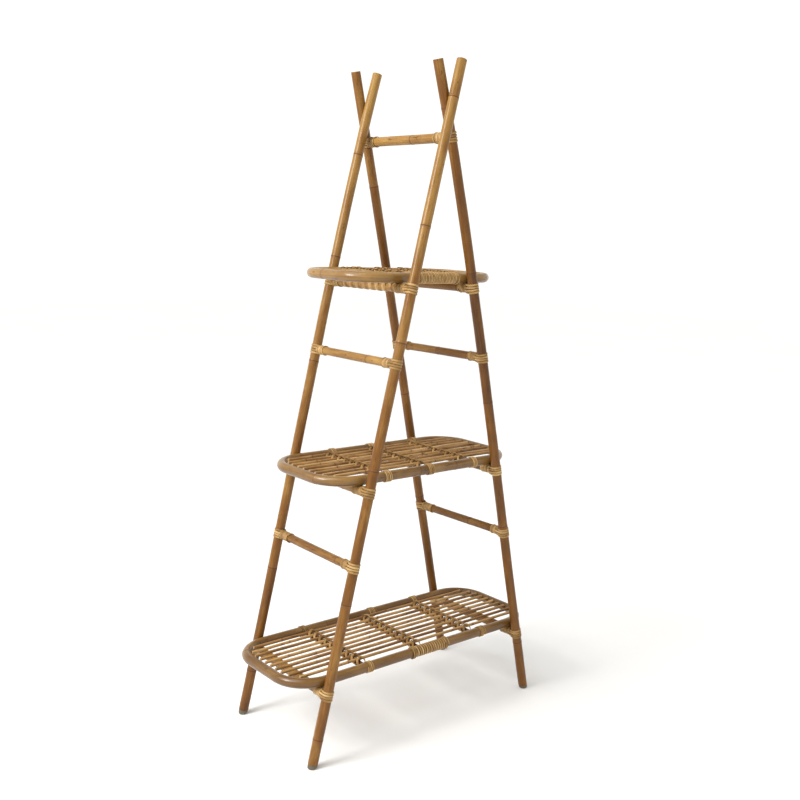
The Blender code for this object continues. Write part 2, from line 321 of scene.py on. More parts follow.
@dataclass(frozen=True)
class VarnishedCane:
    """Round rattan under satin varnish: fibres, mottling, scars and node rings."""

    name: str
    deep: Colour
    low: Colour
    honey: Colour
    pale: Colour
    node_brown: Colour = paint(74, 44, 22)
    rust: Colour = paint(122, 72, 34)
    roughness: float = 0.38
    coat: float = 0.13
    gloss: float = 0.22
    fibre_share: float = 0.22
    streak_share: float = 0.26
    mottle_share: float = 0.66
    ring_share: float = 0.78
    tone_share: float = 0.42
    halo_share: float = 0.40
    scar_share: float = 0.70
    speck_share: float = 0.35
    scar_limit: float = 0.63
    speck_step: float = 0.07
    limit_width: float = 0.06
    ring_wobble: float = 0.0016
    ring_edges: tuple[float, float] = (0.0005, 0.0021)
    halo_edges: tuple[float, float] = (0.0005, 0.011)
    stops: tuple[float, float] = (0.33, 0.62)
    relief_depth: float = 0.0006
    relief_share: float = 0.22
    coat_roughness: float = 0.18

    def make(self) -> bpy.types.Material:
        """Builds the material.

        Returns:
            The material.
        """
        bench = Bench(bpy.data.materials.new(self.name))
        place = bench.along_cane()
        fibres = bench.noise(place, CANE_FIBRES)
        streaks = bench.noise(place, CANE_STREAKS)
        mottle = bench.noise(place, CANE_MOTTLE)
        flecks = bench.noise(place, CANE_FLECKS)
        scars = bench.noise(place, CANE_SCARS)

        share = (
            0.5
            + bench.note("tone") * self.tone_share
            + (mottle - 0.5) * self.mottle_share
            + (streaks - 0.5) * self.streak_share
            + (fibres - 0.5) * self.fibre_share
        )
        low, honey = self.stops
        stops = [(0.0, self.deep), (low, self.low), (honey, self.honey), (1.0, self.pale)]
        colour = bench.ramp(share, stops)

        from_node = abs(bench.note("from_node") + (flecks - 0.5) * self.ring_wobble)
        near_node = 1.0 - bench.ease(from_node, *self.halo_edges)
        halo = near_node * bench.ease(mottle, 0.38, 0.60)
        ring = 1.0 - bench.ease(from_node, *self.ring_edges)
        scar = bench.ease(scars, self.scar_limit, self.scar_limit + self.limit_width)
        speck_limit = self.scar_limit + self.speck_step
        speck = bench.ease(flecks, speck_limit, speck_limit + self.limit_width)
        colour = bench.blend(halo * self.halo_share, colour, self.rust)
        colour = bench.blend(scar * self.scar_share, colour, self.node_brown)
        colour = bench.blend(speck * self.speck_share, colour, self.node_brown)
        colour = bench.blend(ring * self.ring_share, colour, self.node_brown)

        height = fibres * 0.45 + streaks * 0.35 - ring * 0.9 - scar * 0.35
        rough = self.roughness + (mottle - 0.5) * 0.16 + ring * 0.25 + scar * 0.15
        return bench.surface({
            "Base Color": colour,
            "Roughness": rough,
            "Normal": bench.relief(height, self.relief_depth, self.relief_share),
            "Coat Weight": self.coat,
            "Coat Roughness": self.coat_roughness,
            "Specular IOR Level": self.gloss,
        })


@dataclass(frozen=True)
class CutEnd:
    """The sawn end of a cane: a pale face full of pores inside a darker skin."""

    name: str
    pith: Colour = paint(196, 164, 118)
    pore: Colour = paint(96, 66, 38)
    roughness: float = 0.62
    pore_edges: tuple[float, float] = (0.54, 0.66)
    pore_share: float = 0.75
    stain_start: float = 0.35
    stain_share: float = 0.8

    def make(self) -> bpy.types.Material:
        """Builds the material.

        Returns:
            The material.
        """
        bench = Bench(bpy.data.materials.new(self.name))
        place = bench.along_cane()
        pores = bench.noise(place, END_PORES)
        stain = bench.noise(place, END_STAIN)
        dots = bench.ease(pores, *self.pore_edges)
        colour = bench.blend(dots * self.pore_share, self.pith, self.pore)
        stained = (stain - self.stain_start) * self.stain_share
        colour = bench.blend(stained, colour, self.pore)
        return bench.surface({
            "Base Color": colour,
            "Roughness": self.roughness + stain * 0.12,
            "Normal": bench.relief(1.0 - dots, 0.0004, 0.5),
        })


@dataclass(frozen=True)
class PeelStrip:
    """Flat rattan peel used for lashing: straw coloured, with lengthwise fibres."""

    name: str
    shade: Colour
    straw: Colour
    bright: Colour
    roughness: float = 0.46
    tone_share: float = 0.4
    blotch_share: float = 0.7
    fibre_share: float = 0.55
    coat: float = 0.08
    coat_roughness: float = 0.3
    gloss: float = 0.25

    def make(self) -> bpy.types.Material:
        """Builds the material.

        Returns:
            The material.
        """
        bench = Bench(bpy.data.materials.new(self.name))
        place = bench.along_cane()
        fibres = bench.noise(place, PEEL_FIBRES)
        blotch = bench.noise(place, PEEL_BLOTCH)
        share = 0.5 + bench.note("tone") * self.tone_share + (blotch - 0.5) * self.blotch_share
        share = share + (fibres - 0.5) * self.fibre_share
        stops = [(0.0, self.shade), (0.5, self.straw), (1.0, self.bright)]
        return bench.surface({
            "Base Color": bench.ramp(share, stops),
            "Roughness": self.roughness + (blotch - 0.5) * 0.2,
            "Normal": bench.relief(fibres, 0.0004, 0.4),
            "Coat Weight": self.coat,
            "Coat Roughness": self.coat_roughness,
            "Specular IOR Level": self.gloss,
        })


@dataclass(frozen=True)
class GlidePlastic:
    """Moulded plastic of the foot glides, scuffed where it meets the floor."""

    name: str
    body: Colour = paint(88, 80, 64)
    scuff: Colour = paint(150, 142, 122)
    roughness: float = 0.48
    floor_edges: tuple[float, float] = (0.001, 0.006)
    wear_edges: tuple[float, float] = (0.50, 0.72)

    def make(self) -> bpy.types.Material:
        """Builds the material.

        Returns:
            The material.
        """
        bench = Bench(bpy.data.materials.new(self.name))
        place = bench.along_cane()
        grain = bench.noise(place, GLIDE_GRAIN)
        wear = bench.noise(place, GLIDE_WEAR)
        above_floor = bench.ease(bench.note("from_node"), *self.floor_edges)
        worn = bench.ease(wear, *self.wear_edges) * (1.0 - above_floor)
        return bench.surface({
            "Base Color": bench.blend(worn * 0.7 + grain * 0.08, self.body, self.scuff),
            "Roughness": self.roughness + worn * 0.25 + (grain - 0.5) * 0.12,
            "Normal": bench.relief(grain - worn * 0.5, 0.0002, 0.3),
        })


@dataclass(frozen=True)
class BrushedSteel:
    """Zinc-plated steel of the screws that hold each pair of crossed legs."""

    name: str
    bright: Colour = paint(176, 176, 178)
    dull: Colour = paint(120, 118, 114)

    def make(self) -> bpy.types.Material:
        """Builds the material.

        Returns:
            The material.
        """
        bench = Bench(bpy.data.materials.new(self.name))
        place = bench.node("ShaderNodeTexCoord", output="Object")
        turning = bench.noise(place, STEEL_TURNING)
        stain = bench.noise(place, STEEL_STAIN)
        return bench.surface({
            "Base Color": bench.blend(stain, self.bright, self.dull),
            "Metallic": 1.0,
            "Roughness": 0.30 + turning * 0.2,
            "Normal": bench.relief(turning, 0.0001, 0.3),
        })


@dataclass(frozen=True)
class StudioFloor:
    """Plain pale studio floor."""

    name: str
    white: Colour = (0.93, 0.93, 0.93)
    off_white: Colour = (0.90, 0.90, 0.895)

    def make(self) -> bpy.types.Material:
        """Builds the material.

        Returns:
            The material.
        """
        bench = Bench(bpy.data.materials.new(self.name))
        place = bench.node("ShaderNodeTexCoord", output="Object")
        cloud = bench.noise(place, FLOOR_CLOUD)
        return bench.surface({
            "Base Color": bench.blend(cloud, self.white, self.off_white),
            "Roughness": 0.75 + cloud * 0.1,
            "Specular IOR Level": 0.2,
        })


# ---------------------------------------------------------------- meshes

@dataclass
class Skin:
    """The points, faces and notes of one piece, gathered before its mesh is made."""

    points: list[np.ndarray] = field(default_factory=list)
    cane: list[np.ndarray] = field(default_factory=list)
    from_node: list[np.ndarray] = field(default_factory=list)
    tone: list[np.ndarray] = field(default_factory=list)
    quads: list[np.ndarray] = field(default_factory=list)
    fans: list[np.ndarray] = field(default_factory=list)
    size: int = 0

    def add_tube(
        self,
        rings: np.ndarray,
        cane: np.ndarray,
        from_node: np.ndarray,
        tone: np.ndarray,
    ) -> None:
        """Adds a closed tube.

        Args:
            rings: Points, rings by sides by 3, each ring turning about the way forward.
            cane: The same points as if the cane were straight.
            from_node: Distance of each ring to the nearest node ring.
            tone: Paler above 0 and darker below, for each ring or each point.
        """
        count, sides = rings.shape[:2]
        index = self.size + np.arange(count * sides).reshape(count, sides)
        following = np.roll(index, -1, axis=1)
        quads = np.stack([index[:-1], following[:-1], following[1:], index[1:]], axis=-1)
        self.quads.append(quads.reshape(-1, 4))
        first = self.size + count * sides
        last = first + 1
        self.fans.append(np.stack([following[0], index[0], np.full(sides, first)], axis=-1))
        self.fans.append(np.stack([index[-1], following[-1], np.full(sides, last)], axis=-1))
        middles = np.stack([rings[0].mean(0), rings[-1].mean(0)])
        cane_middles = np.stack([cane[0].mean(0), cane[-1].mean(0)])
        self.points += [rings.reshape(-1, 3), middles]
        self.cane += [cane.reshape(-1, 3), cane_middles]
        shades = np.broadcast_to(tone.reshape(count, -1), (count, sides))
        self.from_node += [np.repeat(from_node, sides), np.full(2, FAR_FROM_NODE)]
        self.tone += [shades.ravel(), shades[[0, -1]].mean(axis=1)]
        self.size += count * sides + 2

    def make(
        self,
        name: str,
        materials: list[bpy.types.Material],
        slot: str | None = None,
        replaced: tuple[str, ...] = (),
    ) -> None:
        """Makes the piece, puts it on the unit's body and says so.

        Args:
            name: The piece's name.
            materials: Its skin, and the material of its cut ends if it has another.
            slot: The material slot of the parts that it stands for; not used.
            replaced: The names of those parts.
        """
        quads = np.concatenate(self.quads)
        fans = np.concatenate(self.fans)
        mesh = bpy.data.meshes.new(name)
        mesh.from_pydata(np.concatenate(self.points).tolist(), [], quads.tolist() + fans.tolist())
        for material in materials:
            mesh.materials.append(material)
        ends = np.zeros(len(mesh.polygons), dtype=np.int32)
        ends[len(quads):] = len(materials) - 1
        mesh.polygons.foreach_set("material_index", ends)
        self._write(mesh, "cane", "FLOAT_VECTOR", "vector", self.cane)
        self._write(mesh, "from_node", "FLOAT", "value", self.from_node)
        self._write(mesh, "tone", "FLOAT", "value", self.tone)
        mesh.shade_smooth()
        mesh.set_sharp_from_angle(angle=math.radians(42.0))
        mesh.update()
        piece = bpy.data.objects.new(name, mesh)
        bpy.context.scene.collection.objects.link(piece)
        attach(piece, BODY)
        if replaced:
            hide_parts(*replaced)
        log.info("made %s: %d points", name, len(mesh.vertices))

    @staticmethod
    def _write(
        mesh: bpy.types.Mesh, name: str, kind: str, key: str, values: list[np.ndarray]
    ) -> None:
        """Writes one note of the points on the mesh.

        Args:
            mesh: The mesh to write on.
            name: The note's name.
            kind: Its data type.
            key: The property that holds its value.
            values: Its parts, in the order of the points.
        """
        note = mesh.attributes.new(name, kind, "POINT")
        note.data.foreach_set(key, np.concatenate(values).astype(np.float32).ravel())


def unit(vectors: np.ndarray) -> np.ndarray:
    """Scales vectors to a length of 1."""
    return vectors / np.maximum(np.linalg.norm(vectors, axis=-1, keepdims=True), 1e-12)


def waves(places: np.ndarray, seed: int, longest: float) -> np.ndarray:
    """A slow wandering value, about -1 to 1.

    Args:
        places: Distances along the piece.
        seed: Which wander it is.
        longest: The longest wave.

    Returns:
        The value at each place.
    """
    draw = np.random.default_rng(seed)
    total = np.zeros_like(places)
    for part, share in ((1.0, 0.55), (0.53, 0.30), (0.29, 0.15)):
        phase = draw.uniform(0.0, FULL_TURN)
        total += share * np.sin(FULL_TURN * places / (longest * part) + phase)
    return total


def smooth_path(knots: np.ndarray, steps: int) -> np.ndarray:
    """A smooth line through knots, and through anything that goes with them.

    Args:
        knots: Rows to pass through.
        steps: Points for each span.

    Returns:
        The rows of the smooth line.
    """
    padded = np.concatenate([2 * knots[:1] - knots[1:2], knots, 2 * knots[-1:] - knots[-2:-1]])
    share = (np.arange(steps) / steps)[None, :, None]
    before, start, end, after = (
        padded[shift:len(padded) - 3 + shift, None, :] for shift in range(4)
    )
    line = 0.5 * (
        2 * start
        + (end - before) * share
        + (2 * before - 5 * start + 4 * end - after) * share ** 2
        + (3 * start - before - 3 * end + after) * share ** 3
    )
    return np.concatenate([line.reshape(-1, knots.shape[1]), knots[-1:]])


# A cane's skin. Lengths are in metres; waves and ovals are shares of its radius.
NODE_RINGS = (0.0, 0.0004, 0.0010, 0.0018, 0.0030, 0.0046, 0.0068)
CLOSEST_RINGS = 0.00025
NODELESS_END = 0.02
RIDGE_WIDTH = 0.0034
DIP_DEPTH, DIP_PLACE, DIP_WIDTH = 0.24, 0.005, 0.006
CUT_WIDTH = 0.0008
NODE_LEAN = 0.0007
WANDER_WAVES = (0.55, 0.47)
HELD_ENDS = 40.0
SWELL, SWELL_WAVE = 0.014, 0.31
OVAL = 0.010
LOBES, LOBE_WAVE = 0.006, 0.12
# Rings along a leg, and along a rung or bar
LEG_STEPS, BAR_STEPS = 240, 60
# How far apart the grain of two canes lies, so that no two look the same
SEED_STEP_ALONG, SEED_STEP_ACROSS = 3.7, 0.11


@dataclass
class Cane:
    """A round cane laid along a line, with nodes, a slight wander and sawn ends."""

    radius: float
    sides: int = 24
    spacing: float = 0.009
    tone: float = 0.0
    seed: int = 0
    wander: float = 0.0004
    node_gap: tuple[float, float] = (0.20, 0.34)
    nodes: tuple[float, ...] | None = None
    node_ridge: float = 0.00065
    node_cut: float = 0.00050
    edge: float = 0.0007
    tone_spread: float = 0.14
    # painted light: how much paler the cane is made towards its far end, and darker towards its
    # start
    painted_light_slope: float = 0.0
    under_shade: float = 0.25

    def _node_places(self, length: float) -> np.ndarray:
        """Draws the places of the nodes, unless they are given.

        Args:
            length: The cane's length.

        Returns:
            Distances of the nodes from its start.
        """
        if self.nodes is not None:
            return np.array(self.nodes)
        draw = np.random.default_rng(self.seed + 101)
        places = []
        place = draw.uniform(0.3, 1.0) * self.node_gap[0]
        while place < length - NODELESS_END:
            places.append(place)
            place += draw.uniform(*self.node_gap)
        return np.array(places) if places else np.array([FAR_FROM_NODE * 9.0])

    def _stations(self, length: float, nodes: np.ndarray) -> np.ndarray:
        """Places the rings, closer together at the nodes and the ends.

        Args:
            length: The cane's length.
            nodes: Distances of its nodes from its start.

        Returns:
            Distances of the rings from its start.
        """
        even = np.linspace(0.0, length, max(3, int(length / self.spacing)))
        offsets = np.array(NODE_RINGS)
        near = (nodes[:, None] + np.concatenate([-offsets, offsets])[None]).ravel()
        ends = np.array((self.edge, 2.5 * self.edge))
        places = np.concatenate([even, near, ends, length - ends])
        places = np.unique(places[(places >= 0.0) & (places <= length)].round(6))
        keep = np.concatenate([[True], np.diff(places) > CLOSEST_RINGS])
        keep[-1] = True
        return places[keep]

    def lay(self, skin: Skin, line: np.ndarray, reference: np.ndarray) -> "Laid":
        """Works out the cane's rings along a line.

        Args:
            skin: What gathers the piece.
            line: Points of the axis, close together.
            reference: A direction across the cane, where each ring starts.

        Returns:
            The rings, to be shaped further or added to the skin.
        """
        steps = np.linalg.norm(np.diff(line, axis=0), axis=1)
        run = np.concatenate([[0.0], np.cumsum(steps)])
        length = run[-1]
        nodes = self._node_places(length)
        places = self._stations(length, nodes)
        centres = np.stack([np.interp(places, run, line[:, k]) for k in range(3)], axis=-1)
        forward = unit(np.gradient(centres, places, axis=0))
        across = np.empty_like(centres)
        previous = reference
        for index, way in enumerate(forward):
            previous = previous - way * previous.dot(way)
            previous = previous / np.linalg.norm(previous)
            across[index] = previous
        up = np.cross(forward, across)

        from_end = np.minimum(places, length - places)
        held = np.minimum(1.0, HELD_ENDS * from_end)[:, None]
        centres = centres + held * self.wander * (
            across * waves(places, self.seed + 1, WANDER_WAVES[0])[:, None]
            + up * waves(places, self.seed + 2, WANDER_WAVES[1])[:, None]
        )
        angles = FULL_TURN * np.arange(self.sides) / self.sides
        draw = np.random.default_rng(self.seed + 3)
        phase = draw.uniform(0.0, FULL_TURN)
        lean = NODE_LEAN * np.sin(angles + phase)
        nearest = nodes[np.abs(places[:, None] - nodes[None]).argmin(axis=1)]
        from_node = places - nearest
        off = from_node[:, None] + lean[None]
        dip = DIP_DEPTH * np.exp(-(((off - DIP_PLACE) / DIP_WIDTH) ** 2))
        ridge = np.exp(-((off / RIDGE_WIDTH) ** 2)) - dip
        cut = np.exp(-((off / CUT_WIDTH) ** 2))
        lobes = LOBES * waves(places, self.seed + 5, LOBE_WAVE)[:, None] * np.cos(3.0 * angles)
        radii = self.radius * (
            1.0
            + SWELL * waves(places, self.seed + 4, SWELL_WAVE)[:, None]
            + OVAL * np.cos(2.0 * angles + phase)[None]
            + lobes
        )
        radii = radii + self.node_ridge * ridge - self.node_cut * cut
        rounding = np.clip(1.0 - from_end / self.edge, 0.0, 1.0) ** 2
        radii = radii - (self.edge * rounding)[:, None]

        internode = np.searchsorted(nodes, places)
        shades = np.random.default_rng(self.seed + 6).uniform(-1.0, 1.0, len(nodes) + 2)
        facing_up = (
            np.cos(angles)[None] * across[:, 2:3] + np.sin(angles)[None] * up[:, 2:3]
        )
        # painted light: paler towards the far end and darker towards the start; on a leg, paler
        # towards the top for the sheen there and darker towards the foot
        light_slope = self.painted_light_slope * (places / length - 0.5)
        tone = (self.tone + light_slope + self.tone_spread * shades[internode])[:, None]
        tone = tone - self.under_shade * (1.0 - facing_up) / 2.0
        return Laid(skin, centres, across, up, angles, radii, places, from_node, tone, self.seed)


@dataclass
class Laid:
    """A cane's rings before they are added to a piece."""

    skin: Skin
    centres: np.ndarray
    across: np.ndarray
    up: np.ndarray
    angles: np.ndarray
    radii: np.ndarray
    places: np.ndarray
    from_node: np.ndarray
    tone: np.ndarray
    seed: int

    def points(self) -> np.ndarray:
        """Works out the rings' points in the frame.

        Returns:
            The points, rings by sides by 3.
        """
        sway = np.cos(self.angles)[None, :, None] * self.across[:, None]
        rise = np.sin(self.angles)[None, :, None] * self.up[:, None]
        return self.centres[:, None] + self.radii[..., None] * (sway + rise)

    def finish(self, points: np.ndarray | None = None) -> None:
        """Adds the rings to the skin.

        Args:
            points: The rings' points, if they have been shaped further.
        """
        shape = self.radii.shape
        start = SEED_STEP_ALONG * (self.seed % 89)
        cane = np.stack([
            self.radii * np.cos(self.angles)[None] + SEED_STEP_ACROSS * (self.seed % 13),
            self.radii * np.sin(self.angles)[None],
            np.broadcast_to(self.places[:, None], shape) + start,
        ], axis=-1)
        rings = self.points() if points is None else points
        self.skin.add_tube(rings, cane, self.from_node, self.tone)


# A peel strip: its cross section in half widths and thicknesses, and how it varies
STRIP_SECTION = (
    (-1.0, 0.0), (1.0, 0.0), (1.0, 0.30), (0.72, 0.80),
    (0.26, 1.0), (-0.26, 1.0), (-0.72, 0.80), (-1.0, 0.30),
)
WIDTH_CHANGE, WIDTH_WAVE = 0.05, 0.05
SHADE_SPREAD, SHADE_WAVE = 0.35, 0.16
STRIP_STEP_ALONG, STRIP_STEP_ACROSS = 2.3, 0.07
COIL_STEPS, FEWEST_COIL_STEPS = 18, 12
COIL_START_STEP = 0.9
COIL_SLIP_WAVE, COIL_SWELL_WAVE = 0.37, 9.0
COIL_CLEARANCE = 0.0002
COIL_SLIP, COIL_SWELL = 0.00022, 0.00012


@dataclass(frozen=True)
class Strip:
    """Flat rattan peel with a slightly rounded face, wound on its flat side."""

    width: float = 0.0042
    thickness: float = 0.0012
    edge_shade: float = 0.8

    def wind(self, skin: Skin, points: np.ndarray, normals: np.ndarray, seed: int) -> None:
        """Adds a strip along points on a surface.

        Args:
            skin: What gathers the piece.
            points: Where the middle of its flat side runs.
            normals: The directions away from the surface.
            seed: Its own shade and fibres.
        """
        run = np.concatenate([[0.0], np.cumsum(np.linalg.norm(np.diff(points, axis=0), axis=1))])
        forward = unit(np.gradient(points, axis=0))
        normals = unit(normals - forward * np.sum(normals * forward, axis=1, keepdims=True))
        across = np.cross(normals, forward)
        section = np.array(STRIP_SECTION) * (self.width / 2.0, self.thickness)
        draw = np.random.default_rng(seed)
        narrowing = 1.0 + WIDTH_CHANGE * waves(run, seed + 7, WIDTH_WAVE)
        aside = section[None, :, 0] * narrowing[:, None]
        rings = (
            points[:, None]
            + aside[..., None] * across[:, None]
            + section[None, :, 1, None] * normals[:, None]
        )
        shape = aside.shape
        cane = np.stack([
            aside + STRIP_STEP_ACROSS * (seed % 17),
            np.broadcast_to(section[None, :, 1], shape),
            np.broadcast_to(run[:, None], shape) + STRIP_STEP_ALONG * (seed % 71),
        ], axis=-1)
        tone = draw.uniform(-SHADE_SPREAD, SHADE_SPREAD)
        tone = tone + SHADE_SPREAD * waves(run, seed + 9, SHADE_WAVE)
        edges = (1.0 - section[None, :, 1] / self.thickness) ** 2
        tone = tone[:, None] - self.edge_shade * edges
        skin.add_tube(rings, cane, np.full(len(points), FAR_FROM_NODE), tone)

    def coil(
        self,
        skin: Skin,
        core: "Core",
        start: float,
        end: float,
        seed: int,
        lift: float = 0.0,
        tightness: float = 1.16,
    ) -> None:
        """Winds a closed coil round a straight core.

        Args:
            skin: What gathers the piece.
            core: The round bar inside the coil.
            start: Where the coil starts, along the core.
            end: Where it ends.
            seed: Its own shade and fibres.
            lift: How far its flat side stands off the core.
            tightness: Pitch of the turns, in widths of the strip.
        """
        turns = max(1.0, (end - start - self.width) / (self.width * tightness))
        count = max(FEWEST_COIL_STEPS, int(turns * COIL_STEPS))
        share = np.linspace(0.0, 1.0, count)
        angle = FULL_TURN * turns * share + COIL_START_STEP * (seed % 7)
        along = start + self.width / 2.0 + (end - start - self.width) * share
        along = along + COIL_SLIP * np.sin(angle * COIL_SLIP_WAVE + seed)
        around = (
            np.cos(angle)[:, None] * core.across + np.sin(angle)[:, None] * core.up
        )
        uneven = COIL_SWELL * waves(angle, seed + 8, COIL_SWELL_WAVE)
        reach = core.radius + lift + uneven + COIL_CLEARANCE
        points = core.start + along[:, None] * core.forward + reach[:, None] * around
        points, around = core.under_roof(points, around)
        self.wind(skin, points, around, seed)


@dataclass(frozen=True)
class Core:
    """A straight round bar for a coil: its start, its directions and its radius.

    Something may rest on the bar: its underside is the roof, and it reaches that far along Y.
    """

    start: np.ndarray
    forward: np.ndarray
    across: np.ndarray
    radius: float
    roof: float | None = None
    roof_reach: float = 0.0

    @property
    def up(self) -> np.ndarray:
        """The second direction across the bar, square to the first."""
        return np.cross(self.forward, self.across)

    def under_roof(self, points: np.ndarray, normals: np.ndarray) -> tuple[np.ndarray, np.ndarray]:
        """Presses a coil flat where something rests on the bar.

        Args:
            points: Points of the coil.
            normals: Their outward directions.

        Returns:
            The points and directions after pressing.
        """
        if self.roof is None:
            return points, normals
        points = points.copy()
        pressed = (np.abs(points[:, 1]) < self.roof_reach) & (points[:, 2] > self.roof)
        points[pressed, 2] = self.roof
        return points, normals


# ---------------------------------------------------------------- reading the parts

def node_points(name: str) -> np.ndarray:
    """Reads the points of a part's mesh.

    Args:
        name: The part's name.

    Returns:
        One row for each point.
    """
    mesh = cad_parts[name].data
    points = np.empty(len(mesh.vertices) * 3)
    mesh.vertices.foreach_get("co", points)
    return points.reshape(-1, 3)


def node_edges(name: str) -> np.ndarray:
    """Reads the edges of a part's mesh.

    Args:
        name: The part's name.

    Returns:
        The two points of each edge, by their index.
    """
    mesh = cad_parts[name].data
    edges = np.empty(len(mesh.edges) * 2, dtype=np.int64)
    mesh.edges.foreach_get("vertices", edges)
    return edges.reshape(-1, 2)


def node_box(name: str) -> tuple[np.ndarray, np.ndarray]:
    """A part's lowest and highest corner."""
    low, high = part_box(name)
    return np.array(low), np.array(high)


@dataclass
class LegAxis:
    """The line down the middle of one leg, read from its part."""

    name: str
    radius: float = 0.013
    slices: int = 14
    slice_margin: float = 0.04
    screw_clearance: float = 0.012
    end_depth: float = 0.0004
    tangent_step: float = 0.002

    def __post_init__(self) -> None:
        """Slices the part at several heights and fits the middle of the slices."""
        points, edges = node_points(self.name), node_edges(self.name)
        low, high = points[:, 2].min(), points[:, 2].max()
        self.face = self.name.split("_")[1]
        screw_low, screw_high = node_box("crossing_screw_" + self.face)
        heights, middles = [], []
        screw = (screw_low[2] - self.screw_clearance, screw_high[2] + self.screw_clearance)
        for height in np.linspace(low + self.slice_margin, high - self.slice_margin, self.slices):
            if screw[0] < height < screw[1]:
                continue
            first, second = points[edges[:, 0]], points[edges[:, 1]]
            crossing = (first[:, 2] - height) * (second[:, 2] - height) < 0.0
            first, second = first[crossing], second[crossing]
            share = (height - first[:, 2]) / (second[:, 2] - first[:, 2])
            cut = first + (second - first) * share[:, None]
            heights.append(height)
            middles.append((cut[:, :2].min(0) + cut[:, :2].max(0)) / 2.0)
        middles = np.array(middles)
        self.fit_x = np.polyfit(heights, middles[:, 0], 3)
        self.fit_y = np.polyfit(heights, middles[:, 1], 5)
        self.low, self.high = self._ends(points)

    def _ends(self, points: np.ndarray) -> tuple[float, float]:
        """Finds the middles of the two end faces.

        Args:
            points: The points of the part's mesh.

        Returns:
            The heights of the lower and the upper one.
        """
        ends = []
        for sign, height in ((-1.0, points[:, 2].min()), (1.0, points[:, 2].max())):
            along = sign * (points @ self.direction(height))
            ends.append(points[along > along.max() - self.end_depth][:, 2].mean())
        return ends[0], ends[1]

    def at(self, height: float | np.ndarray) -> np.ndarray:
        """Finds the point of the axis at a height, or at each of several.

        Args:
            height: The height or heights.

        Returns:
            The point or points.
        """
        height = np.asarray(height, dtype=float)
        x, y = np.polyval(self.fit_x, height), np.polyval(self.fit_y, height)
        return np.stack([x, y, height], axis=-1)

    def direction(self, height: float) -> np.ndarray:
        """The upward direction of the leg at a height."""
        return unit(self.at(height + self.tangent_step) - self.at(height - self.tangent_step))


# ---------------------------------------------------------------- poles

@dataclass
class Finishes:
    """The materials, each made once."""

    pole: bpy.types.Material
    rung: bpy.types.Material
    rim: bpy.types.Material
    cross_bar: bpy.types.Material
    slat: bpy.types.Material
    end: bpy.types.Material
    lashing: bpy.types.Material
    tie: bpy.types.Material
    glide: bpy.types.Material
    steel: bpy.types.Material
    floor: bpy.types.Material


def make_finishes() -> Finishes:
    """Makes every material.

    Returns:
        The materials, by what they are for.
    """
    pole = VarnishedCane(
        "varnished_pole", paint(66, 34, 4), paint(113, 71, 17), paint(156, 119, 58),
        paint(206, 178, 130), coat=0.24, fibre_share=0.16, scar_limit=0.66,
    )
    rung = VarnishedCane(
        "varnished_rung", paint(70, 40, 12), paint(114, 76, 28), paint(160, 122, 64),
        paint(196, 160, 102), roughness=0.40,
    )
    rim = VarnishedCane(
        "varnished_rim", paint(66, 40, 13), paint(106, 74, 32), paint(150, 115, 62),
        paint(196, 160, 106), roughness=0.30, coat=0.36, gloss=0.34, ring_share=0.5,
    )
    # painted shade: the cross bars' colours are darkened to stand for the shade beneath the slats
    cross_bar = VarnishedCane(
        "cross_bar_painted_shade", paint(40, 22, 8), paint(74, 44, 16), paint(110, 72, 30),
        paint(140, 98, 50), roughness=0.52, coat=0.05,
    )
    slat = VarnishedCane(
        "slat_cane", paint(64, 36, 12), paint(122, 84, 38), paint(180, 140, 86),
        paint(222, 190, 142), roughness=0.40, coat=0.14, ring_share=0.6,
    )
    lashing = PeelStrip(
        "lashing_peel", paint(60, 34, 12), paint(158, 122, 70), paint(222, 192, 140)
    )
    tie = PeelStrip("tie_peel", paint(50, 28, 10), paint(158, 118, 64), paint(214, 178, 122))
    return Finishes(
        pole=pole.make(),
        rung=rung.make(),
        rim=rim.make(),
        cross_bar=cross_bar.make(),
        slat=slat.make(),
        end=CutEnd("cut_end").make(),
        lashing=lashing.make(),
        tie=tie.make(),
        glide=GlidePlastic("glide_plastic").make(),
        steel=BrushedSteel("screw_steel_looks").make(),
        floor=StudioFloor("studio_floor").make(),
    )


